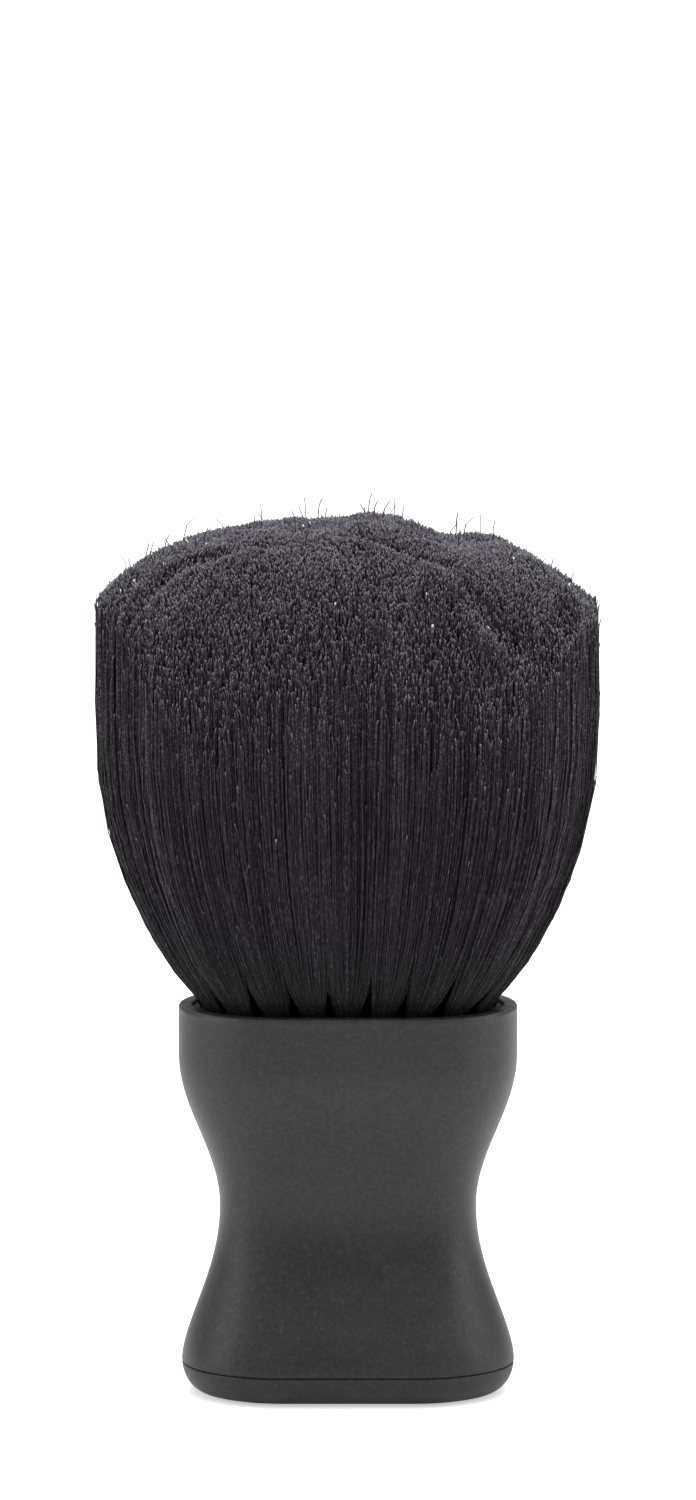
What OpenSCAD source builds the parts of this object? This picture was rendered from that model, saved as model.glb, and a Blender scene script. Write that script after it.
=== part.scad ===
// Neck duster brush: an oval head of staple-set bristle tufts in a drilled block. The block
// drops into a waisted hollow handle, two screws hold it from inside, and a snap-in cap
// closes the foot. Millimetres; +Z up, +X along the wide side, origin mid-underside.

/* [Head] */
// Height from the resting face to the top of the bristle dome
overall_h = 138; // [125:1:150]
// Width of the bristle head, along X
head_w = 78; // [72:1:88]
// Depth of the bristle head, along Y
head_d = 56; // [50:1:62]
// How far the dome falls from its middle to its edge
dome_drop = 11.5; // [8:0.5:16]
// Extra rounding of the outermost bristle tips at the front and back
edge_drop = 12.5; // [6:0.5:15]
// Extra rounding of the outermost bristle tips at the two ends
end_drop = 1.7; // [1:0.1:5]

/* [Handle] */
// Height of the face the bristles come out of
face_h = 61; // [56:0.5:66]
// Length of the straight run in the oval plan, end centre to end centre
spine = 20.8; // [18:0.2:24]
// Half thickness of the handle at the foot
foot_r = 15.8; // [15:0.1:18]
// Half thickness of the flat part the brush stands on
contact_r = 12.1; // [11:0.1:14]
// Half thickness of the handle at the waist
waist_r = 9.8; // [9:0.1:12]
// Half thickness of the collar round the tuft block
collar_r = 16.2; // [16:0.1:17.5]
// Height of the waist
waist_h = 29.5; // [27:0.5:32]
// Wall of the moulded handle
wall = 2.2; // [1.8:0.1:2.4]

/* [Tufting] */
// Distance between rows of tufts
pitch = 5.2; // [5:0.1:5.4]
// Diameter of a tuft hole
hole_d = 4.2; // [3.6:0.1:4.4]
// Depth of a tuft hole
hole_depth = 8; // [6:0.5:9]

/* [Fits] */
// Clearance of the tuft block in its socket, and of the cap plug, on each side
fit_gap = 0.1; // [0.05:0.05:0.2]
// Diameter of the screw shank
screw_d = 2.8; // [2.6:0.1:3.2]

/* [Hidden] */
$fn = 64;
plastic_c = "#1b1a1b";
block_c = "#222122";
bristle_c = "#2c2a29";
steel_c = "#a9abad";
half = spine / 2;
rim_top = face_h + 0.6;
band_h = rim_top - 8;
seam_h = 4.6;
rim_round = 5;
block_r = collar_r - wall - fit_gap;
plate_t = hole_depth + 2.5;
plate_z = face_h - plate_t;
deck_z = waist_h - 1;
deck_t = 2.5;
deck_top = deck_z + deck_t;
post_x = 9;
post_r = 3.5;
plug_r = foot_r - wall - 0.7;
plug_top = seam_h + 5.6;
bead_z = seam_h + 3.2;
bead = 0.3;
head_h = 2.1;
staple_h = 0.9;
hole_z = face_h - hole_depth;
shrink = 0.965;
cell = pitch / 2;
outer_o = 2 * pitch + cell * shrink;
grow_x = head_w / 2 / (half + outer_o);
grow_y = head_d / 2 / outer_o;
full_h = face_h + 47;
mid_n = 14;
rim_n = 20;
side_n = 16;

// ---- oval plan: every point at one distance from the spine line ----

// Half thickness of the outside of the handle at height z
function ease(t) = (1 - cos(180 * t)) / 2;
function skin_r(z) =
  z < rim_round ? contact_r + (foot_r - contact_r) * sqrt(1 - pow(1 - z / rim_round, 2)) :
  z < waist_h ? foot_r + (waist_r - foot_r) * ease(pow((z - rim_round) / (waist_h - rim_round), 0.8)) :
  z < band_h ? waist_r + (collar_r - waist_r) * ease((z - waist_h) / (band_h - waist_h)) :
  collar_r;

// Outside and inside of the handle between two heights, as [half thickness, height] points
function skin(z0, z1, n, in = 0) = [for (i = [0 : n]) let (z = z0 + (z1 - z0) * i / n) [skin_r(z) - in, z]];
function back(v) = [for (i = [len(v) - 1 : -1 : 0]) v[i]];

// Sweeps a profile round the oval plan: two half turns and the straight run between them
module oval(profile) {
  for (s = [-1, 1])
    translate([s * half, 0, 0])
      rotate([0, 0, s * -90])
        rotate_extrude(angle = 180) polygon(profile);
  translate([-half, 0, 0])
    rotate([90, 0, 90])
      linear_extrude(height = spine) {
        polygon(profile);
        mirror([1, 0]) polygon(profile);
      }
}

// A flat oval plate of half thickness r between two heights
module oval_plate(r, z0, z1) {
  translate([0, 0, z0])
    linear_extrude(height = z1 - z0) {
      square([spine, 2 * r], center = true);
      for (s = [-1, 1]) translate([s * half, 0]) circle(r = r);
    }
}

// ---- tuft layout ----

// Point of the plan at arc length s along the ring drawn at offset c, moved out to offset o
function ring_len(c) = 2 * spine + 2 * PI * c;
function wrap(s, c) = s - ring_len(c) * floor(s / ring_len(c));
function loop_point(s, c, o) =
  s < half ? [s, o] :
  s < half + PI * c ? end_point(90 - (s - half) / c * 180 / PI, o) :
  s < half + PI * c + spine ? [half - (s - half - PI * c), -o] :
  s < half + 2 * PI * c + spine ? end_point(-90 - (s - half - PI * c - spine) / c * 180 / PI, o) :
  [s - ring_len(c), o];
function end_point(a, o) = [(cos(a) >= 0 && abs(a) <= 90 ? half : -half) + o * cos(a), o * sin(a)];

// Middle of tuft i in a row: row 0 is the middle line, rows 1 and 2 are the rings round it.
// Ring 1 is turned by half a step, so that no two rows leave their gaps in line.
function row_n(row) = row == 1 ? mid_n : rim_n;
function turn_of(row) = row == 1 ? 0.5 : 0;
function tuft_at(row, i) =
  let (c = row * pitch)
  row == 0 ? [(i - 2) * pitch, 0] :
  loop_point(wrap((i + turn_of(row)) * ring_len(c) / row_n(row), c), c, c);

// Place of side point j of a tuft in the unspread plan, k = 0 round tuft, k = 1 full cell
function around(j) = [cos(j * 360 / side_n), sin(j * 360 / side_n)];
function squared(j) = around(j) / max(abs(around(j)[0]), abs(around(j)[1]));
function core_side(i, j, k) =
  let (open_end = (i == 0 && around(j)[0] < 0) || (i == 4 && around(j)[0] > 0))
  tuft_at(0, i) + (open_end ? around(j) : squared(j)) * cell * shrink * k + around(j) * hole_d / 2 * (1 - k);
function ring_side(row, i, j, k) =
  let (c = row * pitch, step = ring_len(c) / row_n(row))
  let (s = (i + turn_of(row)) * step + squared(j)[0] * step / 2 * shrink)
  let (full = loop_point(wrap(s, c), c, c + squared(j)[1] * cell * shrink))
  full * k + (tuft_at(row, i) + around(j) * hole_d / 2) * (1 - k);
function side_at(row, i, j, k) = row == 0 ? core_side(i, j, k) : ring_side(row, i, j, k);

// Spread of the head with height: 0 at the block face, 1 where the bristles stand upright
function spread(z) = z <= face_h ? 0 : z >= full_h ? 1 : 1 - pow(1 - (z - face_h) / (full_h - face_h), 2.2);
function spread_point(p, z) = [p[0] * (1 + (grow_x - 1) * spread(z)), p[1] * (1 + (grow_y - 1) * spread(z))];

// Height of the bristle tips over a point of the plan
function reach(p) = pow(pow(abs(p[0]) * 2 / head_w, 2.6) + pow(abs(p[1]) * 2 / head_d, 2.6), 1 / 2.6);
function edge_fall(p) = end_drop + (edge_drop - end_drop) * pow(abs(p[1]) * 2 / head_d, 2);
function tip_h(p) =
  overall_h - dome_drop * pow(reach(p), 2.5) - edge_fall(p) * pow(max(0, reach(p) - 0.62) / 0.38, 2);

// Heights of the side rings, and how far each has turned from a round tuft to its full cell
side_h = [hole_z + staple_h, face_h, face_h + 5, face_h + 12, face_h + 22, face_h + 34, full_h];
side_k = [0, 0, 0.7, 0.95, 1, 1, 1];

function tuft_points(row, i) = concat(
  [for (l = [0 : len(side_h) - 1]) for (j = [0 : side_n - 1])
    let (p = spread_point(side_at(row, i, j, side_k[l]), side_h[l])) [p[0], p[1], side_h[l]]],
  [for (j = [0 : side_n - 1])
    let (p = spread_point(side_at(row, i, j, 1), full_h)) [p[0], p[1], tip_h(p) - 0.5]],
  [let (p = tuft_at(row, i)) [p[0], p[1], side_h[0]]],
  [let (p = spread_point(tuft_at(row, i), full_h)) [p[0], p[1], tip_h(p)]]
);

function tuft_faces(levels, turn) = concat(
  [for (l = [0 : levels - 2]) for (j = [0 : side_n - 1])
    let (a = l * side_n + j, b = l * side_n + (j + 1) % side_n)
    for (f = [[a, a + side_n, b], [b, a + side_n, b + side_n]]) turn ? back(f) : f],
  [for (j = [0 : side_n - 1])
    let (f = [j, (j + 1) % side_n, levels * side_n]) turn ? back(f) : f],
  [for (j = [0 : side_n - 1])
    let (t = (levels - 1) * side_n)
    let (f = [t + (j + 1) % side_n, t + j, levels * side_n + 1]) turn ? back(f) : f]
);

// One tuft of bristles: round in its hole, spreading above the block to share the head evenly
module tuft(row, i) {
  polyhedron(
    points = tuft_points(row, i),
    faces = tuft_faces(len(side_h) + 1, row > 0),
    convexity = 4
  );
}

// ---- moulded and metal pieces ----

// Cap: outside rim of the foot, plug ring and snap bead
module base_cap() color(plastic_c) {
  oval(concat(
    [[0, 0]],
    skin(0, seam_h, 10),
    [[plug_r - fit_gap, seam_h],
     [plug_r - fit_gap, bead_z],
     [plug_r - fit_gap + bead, bead_z + 0.3],
     [plug_r - fit_gap + bead, bead_z + 0.8],
     [plug_r - fit_gap, bead_z + 1.1],
     [plug_r - fit_gap, plug_top - 0.5],
     [plug_r - fit_gap - 0.4, plug_top],
     [plug_r - 1.7, plug_top],
     [plug_r - 1.7, 2.4],
     [0, 2.4]]
  ));
}

// Handle: outer skin, socket with a ledge, snap groove, and a deck across the waist
module handle_shell() color(plastic_c) {
  difference() {
    union() {
      oval(concat(
        skin(seam_h, rim_top - 0.6, 40),
        [[collar_r - 0.25, rim_top - 0.15],
         [collar_r - 0.6, rim_top],
         [block_r + fit_gap, rim_top],
         [block_r + fit_gap, plate_z],
         [block_r - 1.3, plate_z]],
        back(skin(deck_top, plate_z - 6.5, 10, wall)),
        back(skin(plug_top + 0.8, deck_z, 12, wall)),
        [[plug_r, plug_top + 0.4],
         [plug_r, bead_z + 1.2],
         [plug_r + bead, bead_z + 0.9],
         [plug_r + bead, bead_z + 0.2],
         [plug_r, bead_z - 0.1],
         [plug_r, seam_h]]
      ));
      oval_plate(waist_r - wall + 0.6, deck_z, deck_top);
    }
    for (s = [-1, 1])
      translate([s * post_x, 0, deck_z - 1])
        cylinder(d = screw_d + 0.5, h = deck_t + 2);
  }
}

// Tuft block: plate with blind tuft holes, and two posts that stand on the handle deck
module tuft_block() color(block_c) {
  difference() {
    union() {
      oval_plate(block_r, plate_z, face_h);
      for (s = [-1, 1])
        translate([s * post_x, 0, deck_top])
          cylinder(r = post_r, h = plate_z - deck_top + 0.5);
    }
    for (i = [0 : 4])
      translate([tuft_at(0, i)[0], tuft_at(0, i)[1], hole_z])
        cylinder(d = hole_d, h = hole_depth + 1);
    for (row = [1, 2])
      for (i = [0 : row_n(row) - 1])
        translate([tuft_at(row, i)[0], tuft_at(row, i)[1], hole_z])
          cylinder(d = hole_d, h = hole_depth + 1);
    for (s = [-1, 1])
      translate([s * post_x, 0, deck_top - 1])
        cylinder(d = screw_d, h = 13);
  }
}

// Two identical pan-head screws, head under the deck and shank in the block post
module block_screws() color(steel_c) {
  for (s = [-1, 1])
    translate([s * post_x, 0, deck_z]) {
      difference() {
        translate([0, 0, -head_h]) cylinder(d = 5.4, h = head_h);
        for (a = [0, 90])
          rotate([0, 0, a]) translate([-1.5, -0.3, -head_h - 0.1]) cube([3, 0.6, 1.1]);
      }
      cylinder(d = screw_d, h = deck_t + 11);
    }
}

// Flat wire anchors, one at the bottom of every tuft hole
module staple(p, a) {
  translate([p[0], p[1], hole_z])
    rotate([0, 0, a])
      translate([-hole_d / 2 + 0.15, -0.2, 0]) cube([hole_d - 0.3, 0.4, staple_h]);
}
module anchor_staples() color(steel_c) {
  for (i = [0 : 4]) staple(tuft_at(0, i), 35);
  for (row = [1, 2])
    for (i = [0 : row_n(row) - 1]) staple(tuft_at(row, i), 35 + 25 * row);
}

// ---- tufts: middle row ----
module tuft_core_1() color(bristle_c) tuft(0, 0);
module tuft_core_2() color(bristle_c) tuft(0, 1);
module tuft_core_3() color(bristle_c) tuft(0, 2);
module tuft_core_4() color(bristle_c) tuft(0, 3);
module tuft_core_5() color(bristle_c) tuft(0, 4);

// ---- tufts: ring round the middle row ----
module tuft_mid_01() color(bristle_c) tuft(1, 0);
module tuft_mid_02() color(bristle_c) tuft(1, 1);
module tuft_mid_03() color(bristle_c) tuft(1, 2);
module tuft_mid_04() color(bristle_c) tuft(1, 3);
module tuft_mid_05() color(bristle_c) tuft(1, 4);
module tuft_mid_06() color(bristle_c) tuft(1, 5);
module tuft_mid_07() color(bristle_c) tuft(1, 6);
module tuft_mid_08() color(bristle_c) tuft(1, 7);
module tuft_mid_09() color(bristle_c) tuft(1, 8);
module tuft_mid_10() color(bristle_c) tuft(1, 9);
module tuft_mid_11() color(bristle_c) tuft(1, 10);
module tuft_mid_12() color(bristle_c) tuft(1, 11);
module tuft_mid_13() color(bristle_c) tuft(1, 12);
module tuft_mid_14() color(bristle_c) tuft(1, 13);

// ---- tufts: outer ring ----
module tuft_rim_01() color(bristle_c) tuft(2, 0);
module tuft_rim_02() color(bristle_c) tuft(2, 1);
module tuft_rim_03() color(bristle_c) tuft(2, 2);
module tuft_rim_04() color(bristle_c) tuft(2, 3);
module tuft_rim_05() color(bristle_c) tuft(2, 4);
module tuft_rim_06() color(bristle_c) tuft(2, 5);
module tuft_rim_07() color(bristle_c) tuft(2, 6);
module tuft_rim_08() color(bristle_c) tuft(2, 7);
module tuft_rim_09() color(bristle_c) tuft(2, 8);
module tuft_rim_10() color(bristle_c) tuft(2, 9);
module tuft_rim_11() color(bristle_c) tuft(2, 10);
module tuft_rim_12() color(bristle_c) tuft(2, 11);
module tuft_rim_13() color(bristle_c) tuft(2, 12);
module tuft_rim_14() color(bristle_c) tuft(2, 13);
module tuft_rim_15() color(bristle_c) tuft(2, 14);
module tuft_rim_16() color(bristle_c) tuft(2, 15);
module tuft_rim_17() color(bristle_c) tuft(2, 16);
module tuft_rim_18() color(bristle_c) tuft(2, 17);
module tuft_rim_19() color(bristle_c) tuft(2, 18);
module tuft_rim_20() color(bristle_c) tuft(2, 19);

base_cap();
handle_shell();
block_screws();
tuft_block();
anchor_staples();
tuft_core_1();
tuft_core_2();
tuft_core_3();
tuft_core_4();
tuft_core_5();
tuft_mid_01();
tuft_mid_02();
tuft_mid_03();
tuft_mid_04();
tuft_mid_05();
tuft_mid_06();
tuft_mid_07();
tuft_mid_08();
tuft_mid_09();
tuft_mid_10();
tuft_mid_11();
tuft_mid_12();
tuft_mid_13();
tuft_mid_14();
tuft_rim_01();
tuft_rim_02();
tuft_rim_03();
tuft_rim_04();
tuft_rim_05();
tuft_rim_06();
tuft_rim_07();
tuft_rim_08();
tuft_rim_09();
tuft_rim_10();
tuft_rim_11();
tuft_rim_12();
tuft_rim_13();
tuft_rim_14();
tuft_rim_15();
tuft_rim_16();
tuft_rim_17();
tuft_rim_18();
tuft_rim_19();
tuft_rim_20();
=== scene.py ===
"""Neck duster brush: a dense oval dome of soft dark bristles on a waisted, free-standing handle.

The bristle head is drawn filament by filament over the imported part: every tuft of the part
becomes one piece, made of its own filaments round a dark core. The handle and its cap are
smooth sweeps round the same oval plan as the solid part. The hidden pieces (block, screws and
anchors) keep their solid shape and get a finish of their own. Lengths are in millimetres
inside the classes, and in metres in the meshes and the materials.
"""

import logging
import math
from dataclasses import dataclass, field, fields
from enum import Enum

import bmesh
import bpy
import numpy as np
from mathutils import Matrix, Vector

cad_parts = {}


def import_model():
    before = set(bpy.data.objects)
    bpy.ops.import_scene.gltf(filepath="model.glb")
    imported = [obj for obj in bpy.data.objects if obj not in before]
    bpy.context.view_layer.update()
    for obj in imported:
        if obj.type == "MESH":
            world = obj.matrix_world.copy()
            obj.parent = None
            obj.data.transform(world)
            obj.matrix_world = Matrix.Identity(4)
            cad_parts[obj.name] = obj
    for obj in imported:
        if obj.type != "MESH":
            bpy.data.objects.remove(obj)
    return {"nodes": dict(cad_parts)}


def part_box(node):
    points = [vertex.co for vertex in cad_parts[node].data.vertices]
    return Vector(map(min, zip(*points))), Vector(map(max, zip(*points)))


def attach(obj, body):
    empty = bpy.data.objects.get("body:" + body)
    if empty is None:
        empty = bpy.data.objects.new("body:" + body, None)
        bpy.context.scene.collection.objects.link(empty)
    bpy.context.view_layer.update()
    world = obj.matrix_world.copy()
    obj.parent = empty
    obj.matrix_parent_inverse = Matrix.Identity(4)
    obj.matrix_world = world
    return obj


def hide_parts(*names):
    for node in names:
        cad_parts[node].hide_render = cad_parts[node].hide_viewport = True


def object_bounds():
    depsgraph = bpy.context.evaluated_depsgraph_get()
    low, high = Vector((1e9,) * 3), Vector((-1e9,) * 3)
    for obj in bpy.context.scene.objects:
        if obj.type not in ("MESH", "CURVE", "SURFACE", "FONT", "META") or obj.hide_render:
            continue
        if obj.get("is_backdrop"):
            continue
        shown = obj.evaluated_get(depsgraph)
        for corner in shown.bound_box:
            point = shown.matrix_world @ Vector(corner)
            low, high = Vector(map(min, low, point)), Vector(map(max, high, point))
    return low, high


log = logging.getLogger("duster")
MM = 0.001
BODY = "root"
WHITE = (1.0, 1.0, 1.0, 1.0)
Colour = tuple[float, float, float, float]
Socket = bpy.types.NodeSocket


class Slot(Enum):
    """Names of two material slots of the part's record."""

    BRISTLE = "bristle"
    HANDLE = "handle_plastic"


class Row(Enum):
    """Rows of tufts, from the middle line outwards: number of the row, and tufts in it."""

    CORE = (0, 5)
    MID = (1, 14)
    RIM = (2, 20)

    @property
    def number(self) -> int:
        """How many pitches the row lies from the middle line."""
        return self.value[0]

    @property
    def count(self) -> int:
        """Tufts in the row."""
        return self.value[1]

    @property
    def turn(self) -> float:
        """Share of a step by which the row is turned, so that gaps don't fall in line."""
        return 0.5 if self is Row.MID else 0.0

    def node(self, index: int) -> str:
        """Name of the part's node for one tuft of the row."""
        digits = 1 if self is Row.CORE else 2
        return f"tuft_{self.name.lower()}_{index + 1:0{digits}d}"


# ---------------------------------------------------------------- meshes


@dataclass
class MeshData:
    """A mesh as whole arrays.

    Attributes:
        points: Vertices, one row each, in metres.
        faces: Arrays of corner numbers, one array for each number of corners.
        numbers: Numbers kept on the vertices, by name.
    """

    points: np.ndarray
    faces: list[np.ndarray]
    numbers: dict[str, np.ndarray] = field(default_factory=dict)

    @classmethod
    def joined(cls, parts: list["MeshData"]) -> "MeshData":
        """One mesh of several that keep the same numbers.

        The corner numbers of a part go up by the count of the vertices before it.

        Args:
            parts: The meshes, in order.

        Returns:
            The joined mesh.
        """
        starts = np.cumsum([0] + [len(part.points) for part in parts])
        return cls(
            np.concatenate([part.points for part in parts]),
            [corners + start for part, start in zip(parts, starts) for corners in part.faces],
            {key: np.concatenate([part.numbers[key] for part in parts]) for key in parts[0].numbers},
        )

    def piece(self, name: str) -> bpy.types.Object:
        """The mesh as an object, linked to the scene and shaded smooth.

        Args:
            name: Name of the object and of its mesh.

        Returns:
            The object.
        """
        mesh = bpy.data.meshes.new(name)
        mesh.vertices.add(len(self.points))
        mesh.vertices.foreach_set("co", self.points.astype(np.float32).ravel())
        corners = np.concatenate([face.ravel() for face in self.faces]).astype(np.int32)
        sizes = np.concatenate([np.full(len(face), face.shape[1]) for face in self.faces])
        mesh.loops.add(len(corners))
        mesh.loops.foreach_set("vertex_index", corners)
        mesh.polygons.add(len(sizes))
        mesh.polygons.foreach_set("loop_start", (np.cumsum(sizes) - sizes).astype(np.int32))
        mesh.polygons.foreach_set("use_smooth", np.ones(len(sizes), bool))
        mesh.update(calc_edges=True)
        for key, values in self.numbers.items():
            layer = mesh.attributes.new(key, "FLOAT", "POINT")
            layer.data.foreach_set("value", values.astype(np.float32).ravel())
        made = bpy.data.objects.new(name, mesh)
        bpy.context.scene.collection.objects.link(made)
        return made


def ring_faces(rings: int, sides: int, closed_along: bool = False) -> np.ndarray:
    """Quads between rings of vertices that lie one after another.

    Vertex s of ring r has the number r * sides + s, and each quad joins two neighbours of one
    ring to the same two of the next.

    Args:
        rings: Number of rings.
        sides: Vertices in a ring, which closes on itself.
        closed_along: Whether the last ring joins the first.

    Returns:
        One row of four corners for each quad.
    """
    r = np.arange(rings if closed_along else rings - 1)[:, None]
    s = np.arange(sides)[None, :]
    here, above = r * sides, (r + 1) % rings * sides
    after = (s + 1) % sides
    return np.stack([here + s, here + after, above + after, above + s], -1).reshape(-1, 4)


# ---------------------------------------------------------------- wiring of materials


@dataclass
class Wiring:
    """Places nodes in a tree and joins them.

    Attributes:
        tree: The tree of a group, a material or a world.
    """

    tree: bpy.types.NodeTree

    @property
    def given(self) -> bpy.types.NodeOutputs:
        """Inputs of a group, as sockets inside it."""
        return self.tree.nodes["in"].outputs

    @property
    def out(self) -> bpy.types.NodeInputs:
        """Outputs of a group, as sockets inside it."""
        return self.tree.nodes["out"].inputs

    def join(self, value: Socket, target: Socket) -> None:
        """Joins an output to an input."""
        self.tree.links.new(value, target)

    def node(
        self, kind: str, inputs: dict[str | int, object] | None = None, **settings: object
    ) -> bpy.types.Node:
        """A node with its settings, and each input either set or joined.

        Args:
            kind: Node type without its "ShaderNode" prefix.
            inputs: Value or output socket for each input, by name or number.
            **settings: Properties of the node.

        Returns:
            The new node.
        """
        made = self.tree.nodes.new("ShaderNode" + kind)
        for key, value in settings.items():
            setattr(made, key, value)
        for key, value in (inputs or {}).items():
            if isinstance(value, Socket):
                self.join(value, made.inputs[key])
            else:
                made.inputs[key].default_value = value
        return made

    def math(
        self, operation: str, a: object, b: object = 0.0, c: object = 0.0, clamp: bool = False
    ) -> Socket:
        """Result of a Math node.

        Args:
            operation: What it works out, by Blender's name.
            a: First value or socket.
            b: Second value or socket.
            c: Third value or socket, for MULTIPLY_ADD.
            clamp: Whether the result is kept from 0 to 1.

        Returns:
            The result.
        """
        return self.node("Math", {0: a, 1: b, 2: c}, operation=operation, use_clamp=clamp).outputs[0]

    def line(self, value: Socket, slope: float, start: float) -> Socket:
        """Slope times the value plus the start, kept from 0 to 1."""
        return self.math("MULTIPLY_ADD", value, slope, start, clamp=True)

    def between(self, share: Socket, none: float, full: float) -> Socket:
        """A number that goes from none to full as the share goes from 0 to 1."""
        return self.math("MULTIPLY_ADD", share, full - none, none)

    def bell(self, distance: Socket) -> Socket:
        """A bell curve, exp(-d * d) of a distance d."""
        square = self.math("MULTIPLY", distance, distance)
        return self.math("POWER", math.e, self.math("MULTIPLY", square, -1.0))

    def mix(self, share: object, a: object, b: object) -> Socket:
        """Colour between a and b, by a share from 0 to 1."""
        return self.node("Mix", {0: share, 6: a, 7: b}, data_type="RGBA").outputs[2]

    def place(self) -> Socket:
        """The object's own coordinates, in metres."""
        return self.node("TexCoord").outputs["Object"]

    def axis(self, vector: Socket, name: str) -> Socket:
        """One part of a vector, by its axis: X, Y or Z."""
        return self.node("SeparateXYZ", {0: vector}).outputs[name]

    def noise(
        self, scale: object, detail: float, stretch: tuple[float, float, float] = (1, 1, 1)
    ) -> Socket:
        """Noise over the object's own coordinates.

        Args:
            scale: How many features there are to the metre, a value or a socket.
            detail: How many finer layers are added.
            stretch: Factor for each axis; one under 1 draws the noise out along its axis.

        Returns:
            The noise, from 0 to 1 with its middle at 0.5.
        """
        spread = self.node("Mapping", {"Vector": self.place(), "Scale": stretch}).outputs[0]
        return self.node("TexNoise", {"Vector": spread, "Scale": scale, "Detail": detail}).outputs["Fac"]

    def attribute(self, name: str) -> Socket:
        """A number kept on the mesh."""
        return self.node("Attribute", attribute_name=name).outputs["Fac"]


def new_group(name: str, inputs: dict[str, Colour | float], outputs: dict[str, str]) -> Wiring:
    """An empty shader node group with named sockets.

    Args:
        name: Name of the group.
        inputs: Default of each input, by its name: a colour or a number.
        outputs: Kind of each output, Color or Float, by its name.

    Returns:
        The wiring of the group.
    """
    tree = bpy.data.node_groups.new(name, "ShaderNodeTree")
    for label, default in inputs.items():
        kind = "NodeSocketColor" if isinstance(default, tuple) else "NodeSocketFloat"
        socket = tree.interface.new_socket(label, in_out="INPUT", socket_type=kind)
        socket.default_value = default
    for label, kind in outputs.items():
        tree.interface.new_socket(label, in_out="OUTPUT", socket_type=f"NodeSocket{kind}")
    tree.nodes.new("NodeGroupInput").name = "in"
    tree.nodes.new("NodeGroupOutput").name = "out"
    return Wiring(tree)


def new_material(name: str) -> tuple[bpy.types.Material, Wiring, bpy.types.Node]:
    """A material with a Principled shader.

    Args:
        name: Name of the material.

    Returns:
        The material, the wiring of its nodes, and its shader.
    """
    made = bpy.data.materials.new(name)
    made.use_nodes = True
    return made, Wiring(made.node_tree), made.node_tree.nodes["Principled BSDF"]


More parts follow.
